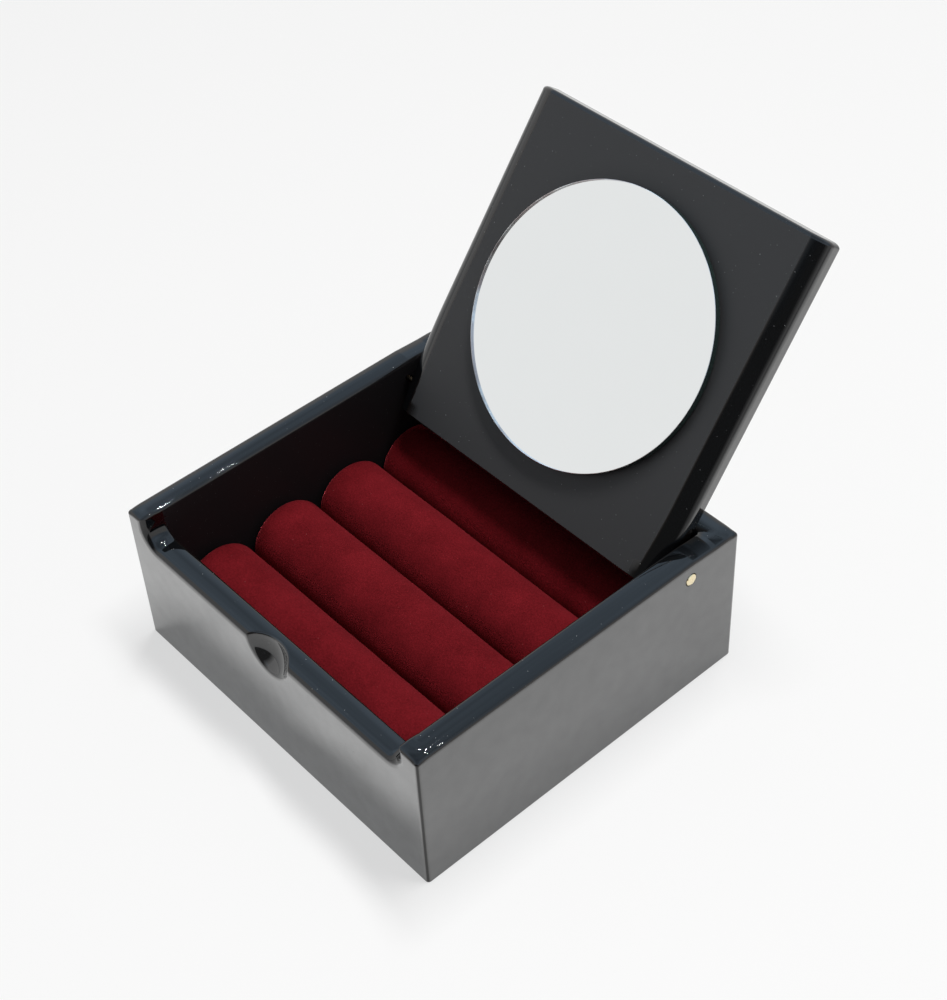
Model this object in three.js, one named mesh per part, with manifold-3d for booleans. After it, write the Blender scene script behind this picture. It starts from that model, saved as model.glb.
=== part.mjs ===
// Lacquered ring box: a black wooden case with a hinged, mirrored lid, four velvet ring rolls
// inside, and mother-of-pearl inlay in the lid's outer face.
// Millimetres. X runs along the front wall, Y from front to back, Z up. The origin is the
// middle of the underside. The lid stands open, leaning on the rear wall.

import * as THREE from 'three';
import { mergeVertices } from 'three/addons/utils/BufferGeometryUtils.js';
import Module from 'manifold-3d';

const wasm = await Module();
wasm.setup();

// Case
const caseWidth = 110;
const caseDepth = 101.6;
const caseHeight = 44;
const sideWall = 7;
const frontWall = 6.8;
const rearWall = 6.8;
const rimRound = 1.2;
const frontRimRound = 2;
const cornerRound = 1.6;

// Step in the front wall that the lid closes over, the fillets at its ends that run out into the
// side walls at filletRunOut above it, and the finger scoop in its middle
const lidStep = 7.2;
const frontFillet = 4.9;
const filletRunOut = 3.7;
const scoopHalfWidth = 7.6;
const scoopDepth = 3.9;
const scoopDrop = 0.4;

// Underside
const baseThickness = 3;
const feltThickness = 0.8;
const feltMargin = 1.5;
const boardFit = 0.15;

// Ring rolls
const rollCount = 4;
const rollSpacing = 0.25;
const rollTop = 23.2;
const rollEndRound = 2.2;
const coreEndRound = 1;
const velvetThickness = 1.1;
const rollFit = 0.3;
const velvetSlit = 9;
const velvetSlitFromEnd = 1;
const trayThickness = 1.5;

// Lid
const lidGap = 0.2;
const lidSideGap = 0.4;
const lidFrontInset = 1;
const lidSideRoundWidth = 5.6;
const lidSideRoundHeight = 4.4;
const lidEndClearance = 0.4;
const lidEaseLength = 22;
const lidEaseWidth = 1.4;
const lidCornerRound = 2.5;

// Pivot pins
const pivotBelowTop = 4.6;
const pivotFromRear = 15.6;
const pinRadius = 0.8;
const pinHeadRadius = 1.6;
const pinHeadHeight = 1.3;
const pinHeadProud = 0.3;
const pinDepthInLid = 7;
const pinTipChamfer = 0.4;
const pinWallFit = 0.1;
const pinLidFit = 0.2;
const stopGap = 0.15;

// Mirror
const mirrorRadius = 36.4;
const mirrorThickness = 2;
const mirrorBevel = 0.3;
const padRadius = 33;
const padThickness = 0.4;
const glueGap = 0.12;

// Mother-of-pearl inlay in the lid's outer face
const shellThickness = 0.5;
const shellFit = 0.15;
const borderInset = 5;
const borderWidth = 1.3;
const petalCount = 12;
const petalInner = 7.2;
const petalOuter = 21.5;
const petalGap = 1;
const budRadius = 5.6;
const ringInner = 23.6;
const ringOuter = 24.9;
const fanInset = 3.2;
const fanInner = 3;
const fanOuter = 12.5;

// Flat facets that stand for each quarter of a round edge, or for a whole round form
const rimFacets = 5;
const frontRimFacets = 4;
const cornerFacets = 6;
const filletFacets = 8;
const lidFacets = 8;
const inlayFacets = 10;
const petalAndFanFacets = 8;
const pinDomeFacets = 3;
const rollEndFacets = 4;
const rollSides = 40;
const coreSides = 24;
const pinSides = 24;
const scoopSides = 40;
const scoopRings = 24;
const mirrorSides = 72;
const padSides = 48;

// How far a cutting shape runs on past the wood, and how near two corners are to count as one
const beyond = 5;
const sameCorner = 1e-5;
const quarterTurn = Math.PI / 2;

// Places worked out from the sizes above
const innerHalfWidth = caseWidth / 2 - sideWall;
const frontFace = -caseDepth / 2;
const rearFace = caseDepth / 2;
const frontInside = frontFace + frontWall;
const rearInside = rearFace - rearWall;
const frontWallTop = caseHeight - lidStep;
const pivotY = rearFace - pivotFromRear;
const pivotZ = caseHeight - pivotBelowTop;
const lidHalfWidth = innerHalfWidth - lidSideGap;
const lidThickness = lidStep - lidGap;
const lidOuter = pivotBelowTop;
const lidUnder = lidOuter - lidThickness;
const lidFront = frontFace + lidFrontInset - pivotY;
const lidEndRadius = rearInside - pivotY - lidEndClearance;
const lidRearOnFace = Math.sqrt(lidEndRadius ** 2 - lidOuter ** 2);
const lidMiddle = (lidFront + lidRearOnFace) / 2;

// The open lid's outer face lies against the rounded inner rim of the rear wall.
const stopAcross = rearInside + rimRound - pivotY;
const stopUp = pivotBelowTop - rimRound;
const lidLean = Math.asin((lidOuter + stopGap + rimRound) / Math.hypot(stopAcross, stopUp))
  + Math.atan2(stopUp, stopAcross);
const openAngle = Math.PI - lidLean;

const lacquer = new THREE.MeshStandardMaterial({ color: 0x0b0c0f, roughness: 0.06, metalness: 0 });
const bareBoard = new THREE.MeshStandardMaterial({ color: 0x1a1512, roughness: 0.6, metalness: 0 });
const felt = new THREE.MeshStandardMaterial({ color: 0x131314, roughness: 0.95, metalness: 0 });
const card = new THREE.MeshStandardMaterial({ color: 0x3a1013, roughness: 0.9, metalness: 0 });
const velvet = new THREE.MeshStandardMaterial({ color: 0x6a141d, roughness: 0.9, metalness: 0 });
const foam = new THREE.MeshStandardMaterial({ color: 0xcfc6b4, roughness: 0.95, metalness: 0 });
const mirror = new THREE.MeshStandardMaterial({ color: 0xe3e5e5, roughness: 0.02, metalness: 1 });
const pad = new THREE.MeshStandardMaterial({ color: 0xd8d4c8, roughness: 0.8, metalness: 0 });
const brass = new THREE.MeshStandardMaterial({ color: 0xd8bd78, roughness: 0.3, metalness: 1 });
const pearl = new THREE.MeshStandardMaterial({ color: 0xd9e0d6, roughness: 0.25, metalness: 0 });

// Geometry helpers

const alongX = new THREE.Matrix4().makeBasis(
  new THREE.Vector3(0, 1, 0),
  new THREE.Vector3(0, 0, 1),
  new THREE.Vector3(1, 0, 0),
);
const alongMinusY = new THREE.Matrix4().makeBasis(
  new THREE.Vector3(1, 0, 0),
  new THREE.Vector3(0, 0, 1),
  new THREE.Vector3(0, -1, 0),
);

// Closed geometry as a solid that can be joined and cut.
function toSolid(geometry) {
  const bare = geometry.clone();
  bare.deleteAttribute('normal');
  bare.deleteAttribute('uv');
  const merged = mergeVertices(bare, sameCorner);
  const vertProperties = new Float32Array(merged.attributes.position.array);
  const triVerts = new Uint32Array(merged.index.array);
  return new wasm.Manifold(new wasm.Mesh({ numProp: 3, vertProperties, triVerts }));
}

function toGeometry(solid) {
  const mesh = solid.getMesh();
  const geometry = new THREE.BufferGeometry();
  geometry.setAttribute('position', new THREE.BufferAttribute(mesh.vertProperties, 3));
  geometry.setIndex(new THREE.BufferAttribute(mesh.triVerts, 1));
  geometry.computeVertexNormals();
  return geometry;
}

function extrude(shape, length, facets) {
  return new THREE.ExtrudeGeometry(shape, { depth: length, bevelEnabled: false, curveSegments: facets });
}

// A YZ outline pushed along X from x0 to x1.
function extrudeX(shape, x0, x1, facets) {
  return extrude(shape, x1 - x0, facets).applyMatrix4(alongX).translate(x0, 0, 0);
}

// An XZ outline pushed along Y from y0 to y1.
function extrudeY(shape, y0, y1, facets) {
  return extrude(shape, y1 - y0, facets).applyMatrix4(alongMinusY).translate(0, y1, 0);
}

// An XY outline pushed along Z from z0 to z1.
function extrudeZ(shape, z0, z1, facets) {
  return extrude(shape, z1 - z0, facets).translate(0, 0, z0);
}

function box(x0, x1, y0, y1, z0, z1) {
  const geometry = new THREE.BoxGeometry(x1 - x0, y1 - y0, z1 - z0);
  return geometry.translate((x0 + x1) / 2, (y0 + y1) / 2, (z0 + z1) / 2);
}

// A rectangle with its own radius at each corner, named by the side of each axis it lies on.
function roundedRectangle(x0, x1, y0, y1, { highLow = 0, highHigh = 0, lowHigh = 0 }) {
  const shape = new THREE.Shape();
  shape.moveTo(x0, y0);
  shape.lineTo(x1 - highLow, y0);
  if (highLow > 0) shape.absarc(x1 - highLow, y0 + highLow, highLow, -quarterTurn, 0, false);
  shape.lineTo(x1, y1 - highHigh);
  if (highHigh > 0) shape.absarc(x1 - highHigh, y1 - highHigh, highHigh, 0, quarterTurn, false);
  shape.lineTo(x0 + lowHigh, y1);
  if (lowHigh > 0) shape.absarc(x0 + lowHigh, y1 - lowHigh, lowHigh, quarterTurn, Math.PI, false);
  return shape;
}

function part(name, geometry, material) {
  const mesh = new THREE.Mesh(geometry, material);
  mesh.name = name;
  return mesh;
}

// Case walls

// A round hole along X at the pivot, from x0 to x1.
function holeX(radius, x0, x1) {
  const hole = new THREE.CylinderGeometry(radius, radius, Math.abs(x1 - x0), pinSides);
  return toSolid(hole.rotateZ(quarterTurn).translate((x0 + x1) / 2, 0, 0));
}

// The pin's hole through a side wall, with the counterbore for its head. side is -1 or 1.
function pinHole(side) {
  const outside = side * (caseWidth / 2 + beyond);
  const shoulder = side * (caseWidth / 2 + pinHeadProud - pinHeadHeight - pinWallFit);
  const shank = holeX(pinRadius + pinWallFit, side * (innerHalfWidth - beyond), outside);
  const headHole = holeX(pinHeadRadius + pinWallFit, shoulder, outside);
  return shank.add(headHole).translate([0, pivotY, pivotZ]);
}

// Side walls run the full depth and height, and stand as posts beside the lowered front wall.
function sideWallGeometry(side) {
  const inner = innerHalfWidth;
  const outer = caseWidth / 2;
  const across = roundedRectangle(inner, outer, 0, caseHeight, { highHigh: rimRound });
  const lengthwise = roundedRectangle(frontFace, rearFace, 0, caseHeight, {
    highHigh: rimRound,
    lowHigh: rimRound,
  });
  const plan = roundedRectangle(inner, outer, frontFace, rearFace, {
    highLow: cornerRound,
    highHigh: cornerRound,
  });
  const innerRim = new THREE.Shape();
  innerRim.moveTo(inner - beyond, caseHeight + beyond);
  innerRim.lineTo(inner - beyond, caseHeight - rimRound);
  innerRim.lineTo(inner, caseHeight - rimRound);
  innerRim.absarc(inner + rimRound, caseHeight - rimRound, rimRound, Math.PI, quarterTurn, true);
  innerRim.lineTo(inner + rimRound, caseHeight + beyond);
  let wall = toSolid(extrudeY(across, frontFace - beyond, rearFace + beyond, rimFacets))
    .intersect(toSolid(extrudeX(lengthwise, inner - beyond, outer + beyond, rimFacets)))
    .intersect(toSolid(extrudeZ(plan, -beyond, caseHeight + beyond, cornerFacets)))
    .subtract(toSolid(extrudeY(innerRim, frontFace - beyond, rearInside, rimFacets)));
  if (side < 0) wall = toSolid(mirrored(toGeometry(wall)));
  return toGeometry(wall.subtract(pinHole(side)));
}

// The same geometry on the other side of X = 0, with its faces still pointing out.
function mirrored(geometry) {
  const flipped = geometry.clone().scale(-1, 1, 1);
  const index = flipped.index.array;
  for (let i = 0; i < index.length; i += 3) {
    [index[i], index[i + 1]] = [index[i + 1], index[i]];
  }
  return flipped;
}

// The front wall's outline, seen from the front: its top sweeps up to the posts in concave
// fillets that match the lid's rounded lower edges.
function frontWallOutline() {
  const outer = caseWidth / 2;
  const outline = new THREE.Shape();
  outline.moveTo(-outer, -beyond);
  outline.lineTo(outer, -beyond);
  outline.lineTo(outer, caseHeight + beyond);
  outline.lineTo(innerHalfWidth, caseHeight + beyond);
  outline.absarc(
    innerHalfWidth - frontFillet,
    frontWallTop + frontFillet,
    frontFillet,
    0,
    -quarterTurn,
    true,
  );
  outline.absarc(
    frontFillet - innerHalfWidth,
    frontWallTop + frontFillet,
    frontFillet,
    -quarterTurn,
    -Math.PI,
    true,
  );
  outline.lineTo(-innerHalfWidth, caseHeight + beyond);
  outline.lineTo(-outer, caseHeight + beyond);
  return outline;
}

// That outline pushed along Y from y0 to y1, with the same round on both rims.
function roundedAlongY(outline, y0, y1, round, facets) {
  const geometry = new THREE.ExtrudeGeometry(outline, {
    depth: y1 - y0 - 2 * round,
    bevelEnabled: true,
    bevelThickness: round,
    bevelSize: round,
    bevelOffset: -round,
    bevelSegments: facets,
    curveSegments: filletFacets,
  });
  return toSolid(geometry.applyMatrix4(alongMinusY).translate(0, y1 - round, 0));
}

// The front wall has a wider round on its outer rim than on its inner one.
function frontWallGeometry() {
  const outline = frontWallOutline();
  const outerRim = roundedAlongY(outline, frontFace, frontInside + beyond, frontRimRound, frontRimFacets);
  const innerRim = roundedAlongY(outline, frontFace - beyond, frontInside, rimRound, rimFacets);
  const halfX = innerHalfWidth;
  const top = frontWallTop + filletRunOut;
  const trim = box(-halfX, halfX, frontFace - beyond, frontInside + beyond, 0, top);
  const wall = outerRim.intersect(innerRim).intersect(toSolid(trim));
  return toGeometry(wall.subtract(scoopSolid()));
}

// The finger scoop is a shallow ball cut out of the front wall's upper edge.
function scoopSolid() {
  const ballRadius = (scoopHalfWidth ** 2 + scoopDepth ** 2) / (2 * scoopDepth);
  const ball = new THREE.SphereGeometry(ballRadius, scoopSides, scoopRings);
  ball.translate(0, frontFace + scoopDepth - ballRadius, frontWallTop - scoopDrop);
  return toSolid(ball);
}

function rearWallGeometry() {
  const section = roundedRectangle(rearInside, rearFace, 0, caseHeight, {
    highHigh: rimRound,
    lowHigh: rimRound,
  });
  return extrudeX(section, -innerHalfWidth, innerHalfWidth, rimFacets);
}

function addCaseWalls(group) {
  group.add(part('front_wall', frontWallGeometry(), lacquer));
  group.add(part('rear_wall', rearWallGeometry(), lacquer));
  group.add(part('left_wall', sideWallGeometry(-1), lacquer));
  group.add(part('right_wall', sideWallGeometry(1), lacquer));
}

// Underside: a plywood bottom let in between the walls, with felt under it

const baseBottom = feltThickness + boardFit;
const baseTop = baseBottom + baseThickness;
const trayTop = baseTop + boardFit + trayThickness;

function addUnderside(group) {
  const halfX = innerHalfWidth - boardFit;
  const base = box(-halfX, halfX, frontInside + boardFit, rearInside - boardFit, baseBottom, baseTop);
  const feltX = innerHalfWidth - feltMargin;
  const feltFront = frontInside + feltMargin;
  const feltRear = rearInside - feltMargin;
  group.add(part('base_board', base, bareBoard));
  group.add(part('base_felt', box(-feltX, feltX, feltFront, feltRear, 0, feltThickness), felt));
}

// Ring rolls: foam rods wrapped in velvet and glued side by side to a card tray

const rollPitch = (rearInside - frontInside) / rollCount;
const rollRadius = (rollPitch - rollSpacing) / 2;
const rollHalfLength = innerHalfWidth - rollFit;
const rollAxisZ = rollTop - rollRadius;
const velvetBottom = trayTop + boardFit;

// A rod along X with rounded end edges, as a body of revolution.
function rod(radius, halfLength, endRound, endFacets, sides) {
  const roundedEnd = [];
  for (let i = 0; i <= endFacets; i += 1) {
    const a = (i / endFacets) * quarterTurn;
    const out = radius - endRound * (1 - Math.sin(a));
    roundedEnd.push(new THREE.Vector2(out, halfLength - endRound * (1 - Math.cos(a))));
  }
  const profile = [
    new THREE.Vector2(0, -halfLength),
    ...roundedEnd.map((p) => new THREE.Vector2(p.x, -p.y)),
    ...roundedEnd.reverse(),
    new THREE.Vector2(0, halfLength),
  ];
  return new THREE.LatheGeometry(profile, sides).rotateZ(-quarterTurn);
}

function outerRod() {
  return rod(rollRadius, rollHalfLength, rollEndRound, rollEndFacets, rollSides);
}

// The rod inside the velvet, smaller all round by less.
function innerRod(less) {
  return rod(rollRadius - less, rollHalfLength - less, coreEndRound, 1, coreSides);
}

// The rolls are cut flat where they are glued down.
function aboveTray(geometry, y, bottom) {
  const keep = box(-caseWidth, caseWidth, y - rollPitch, y + rollPitch, bottom, caseHeight);
  return toSolid(geometry.translate(0, y, rollAxisZ)).intersect(toSolid(keep));
}

function velvetCover(y) {
  const outside = aboveTray(outerRod(), y, velvetBottom);
  const inside = aboveTray(innerRod(velvetThickness), y, velvetBottom + velvetThickness);
  const slitX = rollHalfLength - velvetThickness - velvetSlitFromEnd;
  const slit = box(-slitX, slitX, y - velvetSlit / 2, y + velvetSlit / 2, 0, rollAxisZ);
  return toGeometry(outside.subtract(inside).subtract(toSolid(slit)));
}

function foamCore(y) {
  const less = velvetThickness + glueGap;
  return toGeometry(aboveTray(innerRod(less), y, velvetBottom + less));
}

function addRingRolls(group) {
  const halfX = innerHalfWidth - rollFit;
  const trayFront = frontInside + rollFit;
  const trayRear = rearInside - rollFit;
  group.add(part('tray_board', box(-halfX, halfX, trayFront, trayRear, baseTop + boardFit, trayTop), card));
  for (let i = 0; i < rollCount; i += 1) {
    const y = frontInside + (i + 0.5) * rollPitch;
    group.add(part(`velvet_cover_${i + 1}`, velvetCover(y), velvet));
    group.add(part(`foam_core_${i + 1}`, foamCore(y), foam));
  }
}

// Lid, drawn closed, with the pivot axis as its origin: the front end is at -Y, the outer face up

// Side view: flat faces, a rounded front end, and a rear end that is an arc about the pivot so
// that it clears the rear wall as the lid swings.
function lidSideView() {
  const outline = new THREE.Shape();
  const rearLow = Math.asin(lidUnder / lidEndRadius);
  const rearHigh = Math.asin(lidOuter / lidEndRadius);
  outline.moveTo(lidFront + rimRound, lidUnder);
  outline.lineTo(lidEndRadius * Math.cos(rearLow), lidUnder);
  outline.absarc(0, 0, lidEndRadius, rearLow, rearHigh, false);
  outline.lineTo(lidFront + rimRound, lidOuter);
  outline.absarc(lidFront + rimRound, lidOuter - rimRound, rimRound, quarterTurn, Math.PI, false);
  outline.lineTo(lidFront, lidUnder + rimRound);
  outline.absarc(lidFront + rimRound, lidUnder + rimRound, rimRound, Math.PI, 3 * quarterTurn, false);
  return outline;
}

// Cross-section: the lower side edges are wide, slightly flattened rounds.
function lidSection() {
  const outline = new THREE.Shape();
  const lowX = lidHalfWidth - lidSideRoundWidth;
  const lowZ = lidUnder + lidSideRoundHeight;
  const rimX = lidHalfWidth - rimRound;
  const rimZ = lidOuter - rimRound;
  outline.moveTo(lowX, lidUnder);
  outline.absellipse(lowX, lowZ, lidSideRoundWidth, lidSideRoundHeight, -quarterTurn, 0, false);
  outline.lineTo(lidHalfWidth, rimZ);
  outline.absarc(rimX, rimZ, rimRound, 0, quarterTurn, false);
  outline.lineTo(-rimX, lidOuter);
  outline.absarc(-rimX, rimZ, rimRound, quarterTurn, Math.PI, false);
  outline.lineTo(-lidHalfWidth, lowZ);
  outline.absellipse(
    -lowX,
    lowZ,
    lidSideRoundWidth,
    lidSideRoundHeight,
    Math.PI,
    3 * quarterTurn,
    false,
  );
  return outline;
}

// Plan: straight sides that ease in towards the rounded rear corners.
function lidPlan() {
  const outline = new THREE.Shape();
  const easeStart = lidEndRadius - lidEaseLength;
  const easeEnd = lidEndRadius - lidCornerRound;
  const eased = lidEaseWidth * ((easeEnd - easeStart) / lidEaseLength) ** 2;
  const cornerX = lidHalfWidth - eased;
  const bendY = (easeStart + easeEnd) / 2;
  outline.moveTo(-lidHalfWidth, lidFront - beyond);
  outline.lineTo(lidHalfWidth, lidFront - beyond);
  outline.lineTo(lidHalfWidth, easeStart);
  outline.quadraticCurveTo(lidHalfWidth, bendY, cornerX, easeEnd);
  outline.absarc(cornerX - lidCornerRound, easeEnd, lidCornerRound, 0, quarterTurn, false);
  outline.absarc(lidCornerRound - cornerX, easeEnd, lidCornerRound, quarterTurn, Math.PI, false);
  outline.quadraticCurveTo(-lidHalfWidth, bendY, -lidHalfWidth, easeStart);
  return outline;
}

function lidBoardGeometry() {
  const halfX = lidHalfWidth + beyond;
  let board = toSolid(extrudeY(lidSection(), lidFront - beyond, lidEndRadius + beyond, lidFacets))
    .intersect(toSolid(extrudeX(lidSideView(), -halfX, halfX, lidFacets)))
    .intersect(toSolid(extrudeZ(lidPlan(), lidUnder - beyond, lidOuter + beyond, cornerFacets)));
  for (const side of [-1, 1]) {
    const inLid = side * (lidHalfWidth - pinDepthInLid - pinLidFit);
    board = board.subtract(holeX(pinRadius + pinLidFit, inLid, side * halfX));
  }
  for (const { outline } of inlayPieces(shellFit)) {
    const bottom = lidOuter - shellThickness - glueGap;
    board = board.subtract(toSolid(extrudeZ(outline, bottom, lidOuter + beyond, inlayFacets)));
  }
  return toGeometry(board);
}

// Mirror: a disc of glass with a ground edge, stuck to the lid's underside with a thin pad

function mirrorGeometry() {
  const back = lidUnder - padThickness - 2 * glueGap;
  const face = back - mirrorThickness;
  const profile = [
    new THREE.Vector2(0, face),
    new THREE.Vector2(mirrorRadius - mirrorBevel, face),
    new THREE.Vector2(mirrorRadius, face + mirrorBevel),
    new THREE.Vector2(mirrorRadius, back),
    new THREE.Vector2(0, back),
  ];
  const disc = new THREE.LatheGeometry(profile, mirrorSides);
  return disc.rotateX(quarterTurn).translate(0, lidMiddle, 0);
}

function mirrorPadGeometry() {
  const disc = new THREE.CylinderGeometry(padRadius, padRadius, padThickness, padSides);
  return disc.rotateX(quarterTurn).translate(0, lidMiddle, lidUnder - glueGap - padThickness / 2);
}

// Inlay: thin shell pieces let flush into the lid's outer face. grow widens an outline on
// every side, which gives the pocket that the piece sits in.

function borderStrip(side, grow) {
  const halfX = lidHalfWidth - borderInset;
  const front = lidFront + borderInset;
  const rear = lidRearOnFace - borderInset;
  const middle = (front + rear) / 2;
  const halfY = (rear - front) / 2;
  const across = side % 2 === 0;
  const half = across ? halfX : halfY;
  const reach = across ? halfY : halfX;
  const outline = new THREE.Shape();
  const gap = borderWidth / 2;
  outline.moveTo(-half + gap - grow, reach + grow);
  outline.lineTo(-half + gap + borderWidth - grow, reach - borderWidth - grow);
  outline.lineTo(half - gap - borderWidth + grow, reach - borderWidth - grow);
  outline.lineTo(half - gap + grow, reach + grow);
  return turned(outline, side * quarterTurn, 0, middle);
}

// An outline turned about its own origin and moved.
function turned(shape, angle, x, y) {
  const points = shape.getPoints(petalAndFanFacets);
  const turn = new THREE.Vector2(0, 0);
  const moved = points.map((p) => p.clone().rotateAround(turn, angle).add(new THREE.Vector2(x, y)));
  if (THREE.ShapeUtils.isClockWise(moved)) moved.reverse();
  return new THREE.Shape(moved);
}

// A petal widens from the bud to a round tip.
function petal(i, grow) {
  const step = Math.PI / petalCount;
  const halfInner = petalInner * Math.tan(step) - petalGap / 2 + grow;
  const tipRadius = (petalOuter * Math.sin(step) - petalGap / 2) / (1 + Math.sin(step)) + grow;
  const tip = petalOuter + grow - tipRadius;
  const outline = new THREE.Shape();
  outline.moveTo(petalInner - grow, -halfInner);
  outline.lineTo(tip, -tipRadius);
  outline.absarc(tip, 0, tipRadius, -quarterTurn, quarterTurn, false);
  outline.lineTo(petalInner - grow, halfInner);
  return turned(outline, (i + 0.5) * 2 * step, 0, lidMiddle);
}

function bud(grow) {
  const outline = new THREE.Shape();
  outline.absarc(0, lidMiddle, budRadius + grow, 0, 2 * Math.PI, false);
  return outline;
}

function ring(grow) {
  const outline = new THREE.Shape();
  outline.absarc(0, lidMiddle, ringOuter + grow, 0, 2 * Math.PI, false);
  const hole = new THREE.Path();
  hole.absarc(0, lidMiddle, ringInner - grow, 0, 2 * Math.PI, true);
  outline.holes.push(hole);
  return outline;
}

// A quarter fan stands in each corner of the border: the side of each axis that the corner is
// on, and how many quarter turns make the fan open away from it.
const fanCorners = [
  { sideX: -1, sideY: -1, quarter: 0 },
  { sideX: 1, sideY: -1, quarter: 1 },
  { sideX: -1, sideY: 1, quarter: 3 },
  { sideX: 1, sideY: 1, quarter: 2 },
];

function cornerFan({ sideX, sideY, quarter }, grow) {
  const cornerX = sideX * (lidHalfWidth - borderInset - borderWidth - fanInset);
  const edgeY = sideY < 0 ? lidFront + borderInset : lidRearOnFace - borderInset;
  const cornerY = edgeY - sideY * (borderWidth + fanInset);
  const outline = new THREE.Shape();
  outline.moveTo(fanInner - grow, -grow);
  outline.lineTo(fanOuter + grow, -grow);
  outline.absarc(0, 0, fanOuter + grow, 0, quarterTurn, false);
  outline.lineTo(-grow, fanInner - grow);
  outline.absarc(0, 0, fanInner - grow, quarterTurn, 0, true);
  return turned(outline, quarter * quarterTurn, cornerX, cornerY);
}

function inlayPieces(grow) {
  const pieces = [
    { name: 'inlay_border_rear', outline: borderStrip(0, grow) },
    { name: 'inlay_border_left', outline: borderStrip(1, grow) },
    { name: 'inlay_border_front', outline: borderStrip(2, grow) },
    { name: 'inlay_border_right', outline: borderStrip(3, grow) },
    { name: 'inlay_ring', outline: ring(grow) },
    { name: 'inlay_bud', outline: bud(grow) },
  ];
  for (let i = 0; i < petalCount; i += 1) {
    pieces.push({ name: `inlay_petal_${i + 1}`, outline: petal(i, grow) });
  }
  fanCorners.forEach((corner, i) => {
    pieces.push({ name: `inlay_fan_${i + 1}`, outline: cornerFan(corner, grow) });
  });
  return pieces;
}

function addLid(group) {
  group.add(part('lid_board', lidBoardGeometry(), lacquer));
  group.add(part('mirror_pad', mirrorPadGeometry(), pad));
  group.add(part('mirror_glass', mirrorGeometry(), mirror));
  for (const { name, outline } of inlayPieces(0)) {
    const slip = extrudeZ(outline, lidOuter - shellThickness, lidOuter, inlayFacets);
    group.add(part(name, slip, pearl));
  }
}

// Pivot pins: brass, pushed in from outside through the side wall and into the lid's edge

function pinGeometry() {
  const headTop = caseWidth / 2 + pinHeadProud;
  const headBottom = headTop - pinHeadHeight;
  const tip = lidHalfWidth - pinDepthInLid;
  const profile = [
    new THREE.Vector2(0, tip),
    new THREE.Vector2(pinRadius - pinTipChamfer, tip),
    new THREE.Vector2(pinRadius, tip + pinTipChamfer),
    new THREE.Vector2(pinRadius, headBottom),
    new THREE.Vector2(pinHeadRadius, headBottom),
  ];
  for (let i = 0; i < pinDomeFacets; i += 1) {
    const a = (i / pinDomeFacets) * quarterTurn;
    const rise = pinHeadProud * Math.sin(a);
    profile.push(new THREE.Vector2(pinHeadRadius * Math.cos(a), headTop - pinHeadProud + rise));
  }
  profile.push(new THREE.Vector2(0, headTop));
  return new THREE.LatheGeometry(profile, pinSides);
}

function addPins(group) {
  for (const [name, side] of [['pivot_pin_left', -1], ['pivot_pin_right', 1]]) {
    const pin = part(name, pinGeometry(), brass);
    pin.rotation.z = -side * quarterTurn;
    pin.position.set(0, pivotY, pivotZ);
    group.add(pin);
  }
}

const model = new THREE.Group();
const caseGroup = new THREE.Group();
const lidGroup = new THREE.Group();
addCaseWalls(caseGroup);
addUnderside(caseGroup);
addRingRolls(caseGroup);
addPins(caseGroup);
addLid(lidGroup);
lidGroup.position.set(0, pivotY, pivotZ);
lidGroup.rotation.x = -openAngle;
model.add(caseGroup, lidGroup);

export default model;
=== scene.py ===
import math
from functools import reduce

import bmesh
import bpy
import numpy as np
from mathutils import Matrix, Vector, noise


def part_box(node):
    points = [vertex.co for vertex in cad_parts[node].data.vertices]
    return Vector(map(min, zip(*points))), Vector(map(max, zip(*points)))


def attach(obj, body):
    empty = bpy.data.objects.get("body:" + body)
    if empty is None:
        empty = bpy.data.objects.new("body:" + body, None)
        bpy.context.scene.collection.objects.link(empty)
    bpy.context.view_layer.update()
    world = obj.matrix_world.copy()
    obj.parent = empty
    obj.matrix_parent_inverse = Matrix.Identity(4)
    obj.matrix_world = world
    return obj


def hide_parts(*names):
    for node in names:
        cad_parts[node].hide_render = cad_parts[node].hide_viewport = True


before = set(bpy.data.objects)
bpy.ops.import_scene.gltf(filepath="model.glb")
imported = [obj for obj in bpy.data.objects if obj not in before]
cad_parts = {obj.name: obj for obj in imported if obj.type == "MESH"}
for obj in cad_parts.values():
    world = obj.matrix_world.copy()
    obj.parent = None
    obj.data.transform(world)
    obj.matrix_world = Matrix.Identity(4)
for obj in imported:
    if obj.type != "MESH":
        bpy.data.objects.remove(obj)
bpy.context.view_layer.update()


# Case shell. Four wooden walls, glued up, filled and then lacquered as one, so that the black
# coat runs on over the joints. The front wall is lower than the others, and its top sweeps up
# to the side walls; the finger scoop in its middle is cut before the lacquer goes on.

MM = 0.001

# all in mm
case_half_width = 55.0
case_front, case_rear = -50.8, 51.4
case_top = 44.0
side_wall_rise, side_wall_rise_length = 0.45, 8.0
inner_left, inner_right = -48.7, 48.0
inner_half_depth = 44.0
front_wall_top = 36.8
front_fillet = 4.9
rim_round = 0.9
front_rim_round, front_rim_ends = 2.0, -30.0
crown_radius, crown_half_width, crown_corner_round = 14.0, 4.0, 1.0
corner_round = 1.0
inner_corner_round = 0.5
foot_round = 0.3
scoop_radius = 9.355
scoop_middle = (0.0, -56.255, 36.4)
scoop_edge_round = 0.7
pivot_y, pivot_z = 35.2, 39.4
pin_y, pin_z = 35.0, 39.1
pin_hole_radius, pin_hole_depth, pin_hole_edge_round = 1.72, 1.1, 0.12


def rounded_edge(radius, *sides):
    """The sides meet in an outer edge of that radius. A side is the height above its surface."""
    rise = sum(np.maximum(side + radius, 0.0) ** 2 for side in sides)
    return np.minimum(reduce(np.maximum, sides), -radius) + np.sqrt(rise)


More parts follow.
